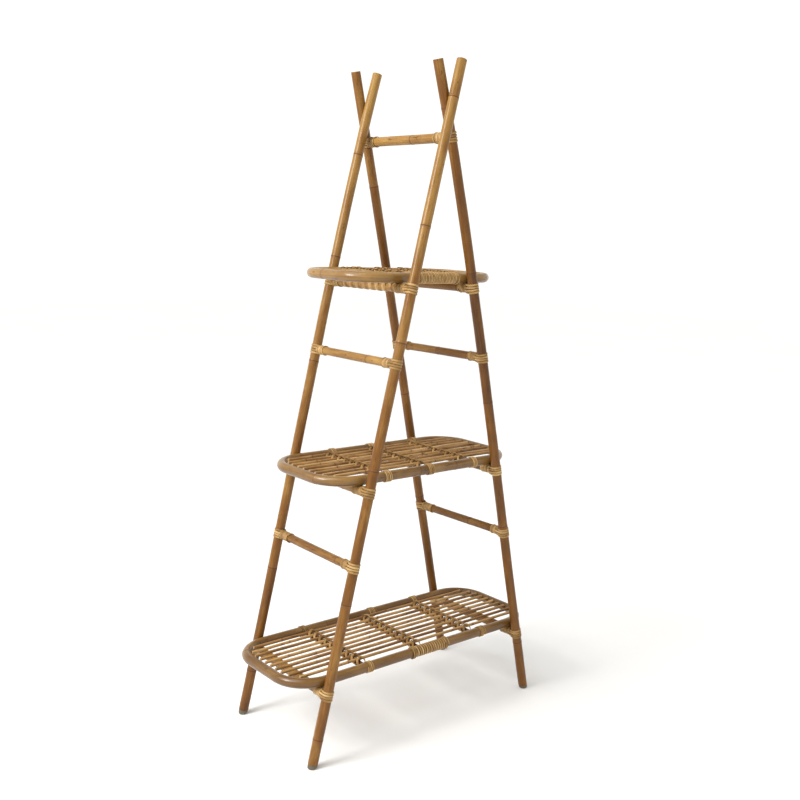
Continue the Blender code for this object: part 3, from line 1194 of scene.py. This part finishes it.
@dataclass
class LegPole:
    """One leg of an A-frame and the glide under it."""

    face: Face
    side: Side
    finishes: Finishes
    node_heights: tuple[float, ...]
    tone: float
    # painted light: how much paler the leg is made towards its top, and darker towards its foot
    light_slope: float
    seed: int
    spacing: float = 0.009
    glide_shoulder: float = 0.0060
    glide_outline: tuple[tuple[float, float], ...] = (
        (0.0, 0.0085), (0.0007, 0.0102), (0.0020, 0.0115), (0.0038, 0.0121),
        (0.0060, 0.0123), (0.0097, 0.0123), (0.0103, 0.0121), (0.0105, 0.0117),
    )

    def __post_init__(self) -> None:
        """Reads the leg's axis from its part."""
        self.key = f"{self.face.value}_{self.side.value}"
        self.axis = LegAxis("leg_" + self.key)

    def build(self) -> None:
        """Builds and dresses the leg and its glide."""
        heights = np.linspace(self.axis.low, self.axis.high, LEG_STEPS)
        line = self.axis.at(heights)
        run = np.concatenate([[0.0], np.cumsum(np.linalg.norm(np.diff(line, axis=0), axis=1))])
        nodes = tuple(np.interp(self.node_heights, heights, run))
        skin = Skin()
        cane = Cane(self.axis.radius, 28, self.spacing, self.tone, self.seed, nodes=nodes,
                    painted_light_slope=self.light_slope)
        cane.lay(skin, line, X_AXIS).finish()
        materials = [self.finishes.pole, self.finishes.end]
        skin.make("rattan_leg_" + self.key, materials, "pole", ("leg_" + self.key,))
        self._build_glide()

    def _build_glide(self) -> None:
        """Builds the glide: level where it stands, square to the leg at its top."""
        foot = self.axis.at(0.0)
        lean = self.axis.direction(0.0)
        angles = FULL_TURN * np.arange(32) / 32
        rings, canes, heights = [], [], []
        for height, radius in self.glide_outline:
            share = min(1.0, height / self.glide_shoulder)
            normal = unit(Z_AXIS * (1.0 - share) + lean * share)
            across = unit(X_AXIS - normal * X_AXIS.dot(normal))
            up = np.cross(normal, across)
            circle = np.cos(angles)[:, None] * across + np.sin(angles)[:, None] * up
            rings.append(foot + lean * height + radius * circle)
            canes.append(radius * circle + Z_AXIS * (height + self.seed))
            heights.append(height)
        skin = Skin()
        skin.add_tube(np.array(rings), np.array(canes), np.array(heights), np.zeros(len(rings)))
        skin.make("glide_" + self.key, [self.finishes.glide], "glide", ("foot_cap_" + self.key,))


@dataclass
class CopedBar:
    """A bar between two legs, its ends shaped to them, with a lashing at each end."""

    node: str
    legs: tuple[LegAxis, LegAxis]
    finishes: Finishes
    radius: float
    tone: float
    seed: int
    rim_node: str | None = None
    fit: float = 0.0003
    fade: float = 0.03
    roof_gap: float = 0.0011

    def build(self) -> None:
        """Builds the bar and its two lashings."""
        low, high = node_box(self.node)
        height = (low[2] + high[2]) / 2.0
        start, end = (leg.at(height) for leg in self.legs)
        way = unit(end - start)
        skin = Skin()
        line_start = start + way * self._cope(self.legs[0], self.radius)
        line_end = end - way * self._cope(self.legs[1], self.radius)
        line = np.linspace(line_start, line_end, BAR_STEPS)
        cane = Cane(self.radius, 24, 0.008, self.tone, self.seed, node_gap=(0.17, 0.30))
        laid = cane.lay(skin, line, Z_AXIS)
        points = laid.points()
        aside = np.abs(self.radius * np.sin(laid.angles))
        from_ends = (laid.places, laid.places[-1] - laid.places)
        for leg, distance, sign in zip(self.legs, from_ends, (1.0, -1.0)):
            reach = self._cope(leg, aside) - self._cope(leg, self.radius)
            fade = np.clip(1.0 - distance / self.fade, 0.0, 1.0) ** 2
            points = points + sign * fade[:, None, None] * reach[None, :, None] * way
        laid.finish(points)
        materials = [self.finishes.rung, self.finishes.end]
        skin.make("rattan_" + self.node, materials, "rung", (self.node,))
        self._lash(self.legs[0], height, way, self.seed + 11)
        self._lash(self.legs[1], height, -way, self.seed + 23)

    def _cope(self, leg: LegAxis, aside: float | np.ndarray) -> float | np.ndarray:
        """Works out how far from a leg's axis the bar's end is.

        Args:
            leg: The leg that the end fits round.
            aside: How far aside of the bar's axis a point of the end is.

        Returns:
            The distance for each point.
        """
        reach = leg.radius + self.fit
        return np.sqrt(reach ** 2 - np.minimum(aside, reach * 0.999) ** 2)

    def _lash(self, leg: LegAxis, height: float, way: np.ndarray, seed: int) -> None:
        """Adds the lashing at one end.

        Args:
            leg: The leg that the end is lashed to.
            height: The bar's height.
            way: The direction from the leg along the bar.
            seed: The lashing's own shades and lengths.
        """
        roof, reach = None, 0.0
        if self.rim_node:
            rim_low, rim_high = node_box(self.rim_node)
            roof = rim_low[2] - self.roof_gap
            reach = rim_high[1] + 0.001
        lashing = TeeLashing(
            f"lashing_{self.node}_{leg.face}",
            leg.at(height), leg.direction(height), way, leg.radius, self.radius, seed,
            roof=roof, roof_reach=reach,
        )
        lashing.build(self.finishes)


@dataclass
class TeeLashing:
    """Peel lashed round a leg and a bar's end: straps side by side, then a collar."""

    name: str
    place: np.ndarray
    leg_way: np.ndarray
    bar_way: np.ndarray
    leg_radius: float
    bar_radius: float
    seed: int
    straps: int = 4
    strap: Strip = Strip(0.0056, 0.0019)
    strap_pitch: float = 0.0066
    strap_tilt: float = 0.0006
    strap_gap: float = 0.0003
    bend: float = 0.0125
    bend_gap: float = 0.0004
    thinnest_flank: float = 0.45
    lift_share: float = 0.22
    band_share: float = 0.75
    band_start: float = 0.0006
    collar_tightness: float = 1.03
    collar: Strip = Strip(0.0062, 0.0010, 0.40)
    band: Strip = Strip(0.0034, 0.0011)
    tail: float = 0.022
    collar_start: float = 0.0150
    collar_reach: tuple[float, float] = (0.044, 0.062)
    band_turns: float = 2.3
    roof: float | None = None
    roof_reach: float = 0.0

    def build(self, finishes: Finishes) -> None:
        """Builds the straps and the collar as one piece.

        Args:
            finishes: The materials.
        """
        skin = Skin()
        up = self.leg_way
        aside = unit(np.cross(up, self.bar_way))
        out = np.cross(aside, up)
        draw = np.random.default_rng(self.seed)
        for number in range(self.straps):
            level = (number - (self.straps - 1) / 2.0) * self.strap_pitch
            tilt = draw.uniform(-self.strap_tilt, self.strap_tilt)
            self._add_strap(skin, (out, aside, up), level, tilt, self.seed + 31 * number)
        core = Core(
            self.place, self.bar_way, Z_AXIS - self.bar_way * self.bar_way[2],
            self.bar_radius, self.roof, self.roof_reach,
        )
        collar_end = draw.uniform(*self.collar_reach)
        lift = self.strap.thickness * self.lift_share
        self.collar.coil(
            skin, core, self.collar_start, collar_end, self.seed + 7, lift, self.collar_tightness
        )
        reach = self.band.width * self.band_turns
        over = lift + self.collar.thickness * self.band_share
        for start in (self.collar_start + self.band_start, collar_end - reach):
            self.band.coil(skin, core, start, start + reach, self.seed + 9, lift=over)
        skin.make(self.name, [finishes.lashing])

    def _add_strap(
        self,
        skin: Skin,
        axes: tuple[np.ndarray, np.ndarray, np.ndarray],
        level: float,
        tilt: float,
        seed: int,
    ) -> None:
        """Adds one strap: along the bar, round the leg, and back along the bar.

        Args:
            skin: What gathers the piece.
            axes: Along the bar, aside, and up the leg.
            level: The strap's height on the leg.
            tilt: How much higher it runs on one side.
            seed: Its own shade and fibres.
        """
        out, aside, up = axes
        round_leg = self.leg_radius + self.strap_gap
        thinnest = self.thinnest_flank * self.bar_radius
        flank = math.sqrt(max(self.bar_radius ** 2 - level ** 2, thinnest ** 2))
        angles = np.linspace(math.pi / 2.0, 1.5 * math.pi, 23)
        knots = [(self.tail, flank + 0.0001), (self.tail * 0.72, flank + 0.0002),
                 (self.bend, (flank + round_leg) / 2.0 + self.bend_gap)]
        plan = [(a, b, 0.0, 1.0) for a, b in knots]
        plan += [
            (round_leg * math.cos(angle), round_leg * math.sin(angle), math.cos(angle),
             math.sin(angle))
            for angle in angles
        ]
        plan += [(a, -b, 0.0, -1.0) for a, b in reversed(knots)]
        plan = np.array(plan)
        rise = level + tilt * np.linspace(-1.0, 1.0, len(plan))
        points = (
            self.place + plan[:, :1] * out + plan[:, 1:2] * aside + rise[:, None] * up
        )
        normals = plan[:, 2:3] * out + plan[:, 3:4] * aside
        self.strap.wind(skin, points, normals, seed)


# ---------------------------------------------------------------- shelves

@dataclass
class Wrap:
    """A short coil round the rim: where it is along X, and how long."""

    face: Face
    start: float
    end: float
    bundles: bool = False
    tightness: float = 1.34


@dataclass
class Shelf:
    """One shelf: rim, cross bars, slats, slat ties and rim wraps."""

    level: Level
    finishes: Finishes
    wraps: tuple[Wrap, ...]
    seed: int
    rim_tone: float = 0.0
    slat_tone: float = 0.0
    laced_bar: Side | None = None
    rim_radius: float = 0.013
    corner_radius: float = 0.090
    corner_steps: int = 32
    seam: float = 0.0005
    wrap_strip: Strip = Strip(0.0040, 0.0019, 1.1)
    tie_strip: Strip = Strip(0.0066, 0.0017, 1.0)
    bar_strip: Strip = Strip(0.0112, 0.0008, 0.40)
    tie_reach: float = 0.0118
    tie_aside: float = 0.0024
    tie_shoulder: float = 0.0044
    tie_turn: float = 0.0030
    strip_gap: float = 0.0002
    bar_gap: float = 0.0003
    bar_tone: float = -0.1
    slat_steps: int = 80
    slat_shift: float = 0.0006
    slat_tone_spread: float = 0.35
    slat_thickness: tuple[float, float] = (0.93, 1.03)
    bundle_lift: float = 0.95
    bundle_widths: float = 3.4

    def __post_init__(self) -> None:
        """Reads the shelf's sizes from its parts."""
        self.key = "shelf_" + self.level.value
        low, high = node_box(self.key + "_rim")
        self.height = (low[2] + high[2]) / 2.0
        self.half_length = (high[0] - low[0]) / 2.0 - self.rim_radius
        self.half_depth = (high[1] - low[1]) / 2.0 - self.rim_radius
        count = sum(name.startswith(self.key + "_slat_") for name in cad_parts)
        boxes = [node_box(f"{self.key}_slat_{n}") for n in range(1, count + 1)]
        self.slat_boxes = boxes
        self.slat_radius = (boxes[0][1][2] - boxes[0][0][2]) / 2.0
        self.slat_height = (boxes[0][1][2] + boxes[0][0][2]) / 2.0
        self.bar_boxes = [node_box(f"{self.key}_cross_bar_{n}") for n in (1, 2, 3)]

    def build(self) -> None:
        """Builds and dresses every piece of the shelf."""
        self._build_rim()
        self._build_cross_bars()
        self._build_slats()
        self._build_ties()
        self._build_wraps()

    def _rim_line(self) -> np.ndarray:
        """Works out the rim's axis: from the middle of the front, once round and back.

        Returns:
            Points of the axis.
        """
        straight_x = self.half_length - self.corner_radius
        straight_y = self.half_depth - self.corner_radius
        seam = self.seam
        line = [np.array((seam, -self.half_depth, 0.0))]
        corners = ((1, -1, -90.0), (1, 1, 0.0), (-1, 1, 90.0), (-1, -1, 180.0))
        for side_x, side_y, start in corners:
            for step in range(self.corner_steps + 1):
                angle = math.radians(start + 90.0 * step / self.corner_steps)
                line.append(np.array((
                    side_x * straight_x + self.corner_radius * math.cos(angle),
                    side_y * straight_y + self.corner_radius * math.sin(angle),
                    0.0,
                )))
        line.append(np.array((-seam, -self.half_depth, 0.0)))
        return np.array(line) + Z_AXIS * self.height

    def _build_rim(self) -> None:
        """The rim: one pole bent round until its ends meet."""
        skin = Skin()
        cane = Cane(self.rim_radius, 24, 0.008, self.rim_tone, self.seed, wander=0.0002,
                    node_gap=(0.24, 0.36), node_ridge=0.00035, tone_spread=0.09, under_shade=0.5)
        cane.lay(skin, self._rim_line(), Z_AXIS).finish()
        materials = [self.finishes.rim, self.finishes.end]
        skin.make(f"rattan_{self.key}_rim", materials, "rim", (self.key + "_rim",))

    def _build_cross_bars(self) -> None:
        """The bars under the slats, their ends shaped to the inside of the rim."""
        skin = Skin()
        names = []
        clear = self.rim_radius + self.bar_gap
        for number, (low, high) in enumerate(self.bar_boxes, start=1):
            x = (low[0] + high[0]) / 2.0
            radius = (high[0] - low[0]) / 2.0
            z = low[2] + radius
            line = np.linspace((x, low[1], z), (x, high[1], z), BAR_STEPS)
            cane = Cane(radius * 0.99, 18, 0.0025, self.bar_tone, self.seed + 40 + number,
                        wander=0.0001, node_gap=(0.11, 0.20), node_ridge=0.0003,
                        under_shade=0.5)
            laid = cane.lay(skin, line, Z_AXIS)
            points = laid.points()
            above = points[..., 2] - self.height
            reach = self.half_depth - np.sqrt(np.maximum(clear ** 2 - above ** 2, 0.0))
            points[..., 1] = np.clip(points[..., 1], -reach, reach)
            laid.finish(points)
            names.append(f"{self.key}_cross_bar_{number}")
        materials = [self.finishes.cross_bar, self.finishes.end]
        skin.make(f"rattan_{self.key}_cross_bars", materials, "cross_bar", tuple(names))

    def _build_slats(self) -> None:
        """The thin canes that make the shelf's surface."""
        skin = Skin()
        names = []
        draw = np.random.default_rng(self.seed + 60)
        for number, (low, high) in enumerate(self.slat_boxes, start=1):
            y = (low[1] + high[1]) / 2.0
            z = (low[2] + high[2]) / 2.0
            shift = draw.uniform(-self.slat_shift, self.slat_shift)
            ends = (low[0], y + shift, z), (high[0], y - shift, z)
            line = np.linspace(*ends, self.slat_steps)
            radius = self.slat_radius * draw.uniform(*self.slat_thickness)
            tone = self.slat_tone + draw.uniform(-self.slat_tone_spread, self.slat_tone_spread)
            cane = Cane(radius, 14, 0.012, tone,
                        self.seed + 70 + number, wander=0.0009, node_gap=(0.16, 0.33),
                        node_ridge=0.00030, node_cut=0.0002, edge=0.0005,
                        tone_spread=0.12, under_shade=0.60)
            cane.lay(skin, line, Z_AXIS).finish()
            names.append(f"{self.key}_slat_{number}")
        materials = [self.finishes.slat, self.finishes.end]
        skin.make(f"rattan_{self.key}_slats", materials, "slat", tuple(names))

    def _build_ties(self) -> None:
        """Two crossed lacings over the slats and round each bar under them."""
        skin = Skin()
        bars = []
        for low, high in self.bar_boxes:
            radius = (high[0] - low[0]) / 2.0
            bars.append(((low[0] + high[0]) / 2.0, low[2] + radius, radius))
        if self.laced_bar:
            low, high = node_box(f"support_bar_{self.laced_bar.value}_{self.level.value}")
            radius = (high[2] - low[2]) / 2.0
            bars.append(((low[0] + high[0]) / 2.0, (low[2] + high[2]) / 2.0, radius))
        for number, (x, z, radius) in enumerate(bars):
            strip = self.tie_strip if number < len(self.bar_boxes) else self.bar_strip
            for turn, (sign, lift) in enumerate(((1.0, 0.0), (-1.0, strip.thickness))):
                extra = strip is self.tie_strip and turn == 0
                knots = self._lacing_knots(x, z, radius, sign, lift, extra)
                line = smooth_path(knots, 4)
                strip.wind(
                    skin, line[:, :3], unit(line[:, 3:]), self.seed + 90 + 10 * number + turn
                )
        skin.make(f"{self.key}_slat_ties", [self.finishes.tie])

    def _turns_round_bar(self, y: float, drop: float, bar: float, extra: bool) -> list[Knot]:
        """The knots of a lacing that passes under the bar, after a full turn if wanted.

        Args:
            y: Where it passes, along the bar.
            drop: The bar's height above the slats' axes.
            bar: How far it runs from the bar's axis.
            extra: Whether it makes a full turn first.

        Returns:
            The knots, from the bar's side to just before its other side.
        """
        step = self.tie_turn
        places = (y - step, y + step) if extra else (y,)
        knots = []
        for number, place in enumerate(places):
            if number:
                knots += [
                    (-bar, place - step, drop, -1.0, 0.0, 0.1),
                    (-bar * SHOULDER, place - 0.0025, drop + bar * SLANT, -SLANT, 0.0, SLANT),
                    (0.0, place - 0.0020, drop + bar, 0.0, 0.0, 1.0),
                    (bar * SHOULDER, place - 0.0010, drop + bar * SLANT, SLANT, 0.0, SLANT),
                ]
            knots += [
                (bar, place, drop, 1.0, 0.0, 0.1),
                (bar * SHOULDER, place, drop - bar * SLANT, SLANT, 0.0, -SLANT),
                (0.0, place, drop - bar, 0.0, 0.0, -1.0),
                (-bar * SHOULDER, place, drop - bar * SLANT, -SLANT, 0.0, -SLANT),
            ]
        return knots

    def _lacing_knots(
        self, x: float, z: float, radius: float, sign: float, lift: float, extra: bool
    ) -> np.ndarray:
        """The knots of one lacing, each with its outward direction.

        Args:
            x: The bar's place along the shelf.
            z: The height of its axis.
            radius: Its radius.
            sign: 1 for the lacing that leans one way, -1 for the other.
            lift: How far it runs above the other lacing.
            extra: Whether it makes a full turn round the bar between the slats.

        Returns:
            Rows of place and direction.
        """
        slat = self.slat_radius + self.strip_gap
        bar = radius + self.strip_gap
        drop = z - self.slat_height
        middles = [(low[1] + high[1]) / 2.0 for low, high in self.slat_boxes]
        half = (middles[1] - middles[0]) / 2.0
        aside = self.tie_aside * sign
        reach = max(self.tie_reach, bar * 0.95)
        knots = []
        for y in middles:
            knots += [
                (-bar, y - half + aside, drop, -1.0, 0.0, 0.1),
                (-reach, y - slat - self.tie_shoulder, -slat * 0.9, -0.6, -0.4, 0.7),
                (-reach * 0.62, y - slat * 0.86, slat * 0.52 + lift, -0.1, -0.8, 0.6),
                (0.0, y, slat + lift, 0.0, 0.0, 1.0),
                (reach * 0.62, y + slat * 0.86, slat * 0.52 + lift, 0.1, 0.8, 0.6),
                (reach, y + slat + self.tie_shoulder, -slat * 0.9, 0.6, 0.4, 0.7),
            ]
            knots += self._turns_round_bar(y + half + aside, drop, bar, extra)
        rows = np.array(knots[:-3])
        rows[:, 0] = x + sign * rows[:, 0]
        rows[:, 3] *= sign
        rows[:, 2] += self.slat_height
        return rows

    def _build_wraps(self) -> None:
        """The coils round the rim, and the long one over the joint of its ends."""
        skin = Skin()
        strip = self.wrap_strip
        for number, wrap in enumerate(self.wraps):
            y = -self.half_depth if wrap.face is Face.FRONT else self.half_depth
            radius = self.rim_radius + self.bar_gap
            core = Core(np.array((0.0, y, self.height)), X_AXIS, Y_AXIS, radius)
            seed = self.seed + 200 + 5 * number
            strip.coil(skin, core, wrap.start, wrap.end, seed, tightness=wrap.tightness)
            if wrap.bundles:
                lift = strip.thickness * self.bundle_lift
                reach = self.bundle_widths * strip.width
                strip.coil(skin, core, wrap.start, wrap.start + reach, seed + 1, lift)
                strip.coil(skin, core, wrap.end - reach, wrap.end, seed + 2, lift)
        skin.make(f"{self.key}_rim_wraps", [self.finishes.lashing])


# ---------------------------------------------------------------- studio

@dataclass
class Studio:
    """Floor, soft lights and camera."""

    floor_material: bpy.types.Material
    floor_size: float = 30.0
    floor_faces: int = 4
    camera_place: tuple[float, float, float] = (-1.6795, -2.1006, 1.3237)
    yaw: float = 42.381
    pitch: float = -9.664
    roll: float = 2.369
    lens: float = 44.835
    sensor: float = 36.0
    shift: tuple[float, float] = (-0.0752, 0.0075)
    world_strength: float = 1.12
    world_colour: Colour = (1.0, 0.985, 0.945)
    overhead_share: float = 0.45
    sun_strength: float = 1.8
    sun_angle: float = 50.0
    sun_way: tuple[float, float, float] = (-0.55, 0.10, 0.80)
    dim_from: float = 0.25
    dim_to: float = 0.75
    key_power: float = 70.0
    key_size: float = 1.1
    key_place: tuple[float, float, float] = (-2.9, 0.3, 2.6)
    key_colour: Colour = (1.0, 0.98, 0.95)
    key_target: tuple[float, float, float] = (0.0, 0.0, 0.8)

    def build(self) -> None:
        """Builds the floor, the lights and the camera."""
        self._lay_floor()
        self._light()
        self._place_camera()
        bpy.context.scene.view_settings.view_transform = "Standard"

    def _lay_floor(self) -> None:
        """A wide floor of a few large faces."""
        half, count = self.floor_size / 2.0, self.floor_faces
        steps = np.linspace(-half, half, count + 1)
        points = [(x, y, 0.0) for y in steps for x in steps]
        corners = (0, 1, count + 2, count + 1)
        faces = [
            tuple(row * (count + 1) + column + corner for corner in corners)
            for row in range(count) for column in range(count)
        ]
        mesh = bpy.data.meshes.new("floor")
        mesh.from_pydata(points, [], faces)
        mesh.materials.append(self.floor_material)
        floor = bpy.data.objects.new("floor", mesh)
        bpy.context.scene.collection.objects.link(floor)

    def _light(self) -> None:
        """A white room that is dimmer overhead, a soft sun from the left and a key light."""
        world = bpy.data.worlds.new("studio_room")
        bpy.context.scene.world = world
        bench = Bench(world)
        way = bench.node("ShaderNodeTexCoord", output="Generated")
        rise = bench.node("ShaderNodeSeparateXYZ", {}, {0: way}, 2)
        share = bench.ease(rise, self.dim_from, self.dim_to)
        bright = 1.0 - share * (1.0 - self.overhead_share)
        lamp = bench.node(
            "ShaderNodeBackground", {},
            {"Color": self.world_colour, "Strength": bright * self.world_strength},
        )
        bench.node("ShaderNodeOutputWorld", {}, {"Surface": lamp})
        self._hang_sun()
        self._hang_key()

    def _hang_sun(self) -> None:
        """Lights the room evenly from the left, through a very wide source."""
        data = bpy.data.lights.new("soft_sun", "SUN")
        data.energy = self.sun_strength
        data.angle = math.radians(self.sun_angle)
        light = bpy.data.objects.new("soft_sun", data)
        away = unit(np.array(self.sun_way))
        across = unit(np.cross(Z_AXIS, away))
        light.matrix_world = axes_matrix(across, np.cross(away, across), away, (0.0, 0.0, 3.0))
        bpy.context.scene.collection.objects.link(light)

    def _hang_key(self) -> None:
        """Hangs a square key light that faces the middle of the shelf unit."""
        data = bpy.data.lights.new("key_light", "AREA")
        data.size = self.key_size
        data.energy = self.key_power
        data.color = self.key_colour
        light = bpy.data.objects.new("key_light", data)
        away = unit(np.array(self.key_place) - np.array(self.key_target))
        across = unit(np.cross(Z_AXIS + 0.001 * X_AXIS, away))
        up = np.cross(away, across)
        light.matrix_world = axes_matrix(across, up, away, self.key_place)
        bpy.context.scene.collection.objects.link(light)

    def _place_camera(self) -> None:
        """Sets the camera at the height of a standing person's chest, to the left."""
        yaw, pitch, roll = (math.radians(v) for v in (self.yaw, self.pitch, self.roll))
        ahead = np.array((
            math.sin(yaw) * math.cos(pitch), math.cos(yaw) * math.cos(pitch), math.sin(pitch),
        ))
        level = np.array((math.cos(yaw), -math.sin(yaw), 0.0))
        above = np.cross(level, ahead)
        right = math.cos(roll) * level + math.sin(roll) * above
        up = -math.sin(roll) * level + math.cos(roll) * above
        data = bpy.data.cameras.new("camera")
        data.sensor_width = self.sensor
        data.lens = self.lens
        data.shift_x, data.shift_y = self.shift
        data.clip_end = 100.0
        camera = bpy.data.objects.new("camera", data)
        camera.matrix_world = axes_matrix(right, up, -ahead, self.camera_place)
        bpy.context.scene.collection.objects.link(camera)
        bpy.context.scene.camera = camera


def axes_matrix(
    right: np.ndarray,
    up: np.ndarray,
    back: np.ndarray,
    place: tuple[float, float, float],
) -> Matrix:
    """The matrix of an object with given axes.

    Args:
        right: Its X axis.
        up: Its Y axis.
        back: Its Z axis.
        place: Its origin.

    Returns:
        The matrix.
    """
    rows = [[*(float(v[k]) for v in (right, up, back)), float(place[k])] for k in range(3)]
    return Matrix([*rows, [0.0, 0.0, 0.0, 1.0]])


# ---------------------------------------------------------------- the whole unit

@dataclass
class LadderShelf:
    """The whole unit: legs, bars, shelves and their lashings."""

    finishes: Finishes
    leg_nodes: dict[tuple[Face, Side], tuple[float, ...]] = field(default_factory=lambda: {
        (Face.FRONT, Side.LEFT): (0.073, 0.409, 0.74, 1.057, 1.345, 1.66),
        (Face.FRONT, Side.RIGHT): (0.154, 0.52, 0.881, 1.23, 1.637),
        (Face.BACK, Side.LEFT): (0.12, 0.405, 0.69, 0.972, 1.255, 1.53),
        (Face.BACK, Side.RIGHT): (0.209, 0.53, 0.855, 1.16, 1.45),
    })
    # Each leg's tone and its painted light slope: paler towards the top for the sheen there,
    # darker towards the foot
    leg_tones: dict[tuple[Face, Side], tuple[float, float]] = field(default_factory=lambda: {
        (Face.FRONT, Side.LEFT): (-0.12, 0.55),
        (Face.FRONT, Side.RIGHT): (-0.45, 0.00),
        (Face.BACK, Side.LEFT): (-0.12, 0.75),
        (Face.BACK, Side.RIGHT): (-0.40, 0.42),
    })

    bar_tones: dict[Side, tuple[float, float, float]] = field(default_factory=lambda: {
        Side.LEFT: (-0.02, -0.02, 0.20),
        Side.RIGHT: (-0.48, -0.48, -0.30),
    })
    rung_tones: dict[Side, tuple[float, float]] = field(default_factory=lambda: {
        Side.LEFT: (-0.14, 0.20),
        Side.RIGHT: (-0.58, -0.36),
    })
    crossbar_tone: float = 0.10
    bar_radius: float = 0.012
    rung_radius: float = 0.011
    crossbar_radius: float = 0.0125

    def build(self) -> None:
        """Builds and dresses everything, from the legs to the shelves."""
        axes = {}
        for number, (key, heights) in enumerate(self.leg_nodes.items()):
            leg = LegPole(*key, self.finishes, heights, *self.leg_tones[key], 17 + 29 * number)
            leg.build()
            axes[key] = leg.axis
        self._build_bars(axes)
        for shelf in self._shelves():
            shelf.build()
        self._dress_screws()

    def _build_bars(self, axes: dict[tuple[Face, Side], LegAxis]) -> None:
        """Builds the support bars, the rungs and the top crossbar.

        Args:
            axes: The leg axes.
        """
        seed = 300
        for side in Side:
            legs = (axes[Face.FRONT, side], axes[Face.BACK, side])
            bar_tones, rung_tones = self.bar_tones[side], self.rung_tones[side]
            for level, tone in zip(Level, bar_tones):
                node = f"support_bar_{side.value}_{level.value}"
                rim = f"shelf_{level.value}_rim"
                CopedBar(node, legs, self.finishes, self.bar_radius, tone, seed, rim).build()
                seed += 41
            for place, tone in zip(("lower", "upper"), rung_tones):
                node = f"rung_{side.value}_{place}"
                CopedBar(node, legs, self.finishes, self.rung_radius, tone, seed).build()
                seed += 41
        right_legs = (axes[Face.FRONT, Side.RIGHT], axes[Face.BACK, Side.RIGHT])
        CopedBar("top_crossbar", right_legs, self.finishes, self.crossbar_radius,
                 self.crossbar_tone, seed).build()

    def _shelves(self) -> list[Shelf]:
        """Plans the three shelves with their wraps.

        Returns:
            The shelves, from the lowest up.
        """
        front, back = Face.FRONT, Face.BACK
        bottom = Shelf(
            Level.BOTTOM, self.finishes,
            (
                Wrap(front, -0.197, -0.175), Wrap(front, -0.045, 0.083, True, 1.9),
                Wrap(front, 0.201, 0.225), Wrap(back, -0.204, -0.182),
                Wrap(back, 0.034, 0.056), Wrap(back, 0.198, 0.220),
            ),
            seed=1000, rim_tone=-0.26, slat_tone=0.05,
        )
        middle = Shelf(
            Level.MIDDLE, self.finishes,
            (
                Wrap(front, -0.152, -0.129), Wrap(front, -0.010, 0.014),
                Wrap(front, 0.147, 0.169), Wrap(back, -0.119, -0.097),
                Wrap(back, 0.013, 0.035), Wrap(back, 0.175, 0.197),
            ),
            seed=2000, rim_tone=-0.12, slat_tone=0.25,
        )
        top = Shelf(
            Level.TOP, self.finishes,
            (Wrap(front, -0.0675, 0.080, True), Wrap(back, -0.040, -0.026)),
            seed=3000, rim_tone=0.30, slat_tone=0.3, laced_bar=Side.LEFT,
        )
        return [bottom, middle, top]

    def _dress_screws(self) -> None:
        """Gives the two hidden screws their steel."""
        for face in Face:
            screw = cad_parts["crossing_screw_" + face.value]
            for slot in screw.material_slots:
                slot.material = self.finishes.steel
            log.info("dressed %s", screw.name)


def main() -> None:
    """Builds the finishes, the ladder shelf and the studio."""
    logging.basicConfig(level=logging.INFO, format="%(message)s")
    finishes = make_finishes()
    LadderShelf(finishes).build()
    Studio(finishes.floor).build()


if __name__ == "__main__":
    main()
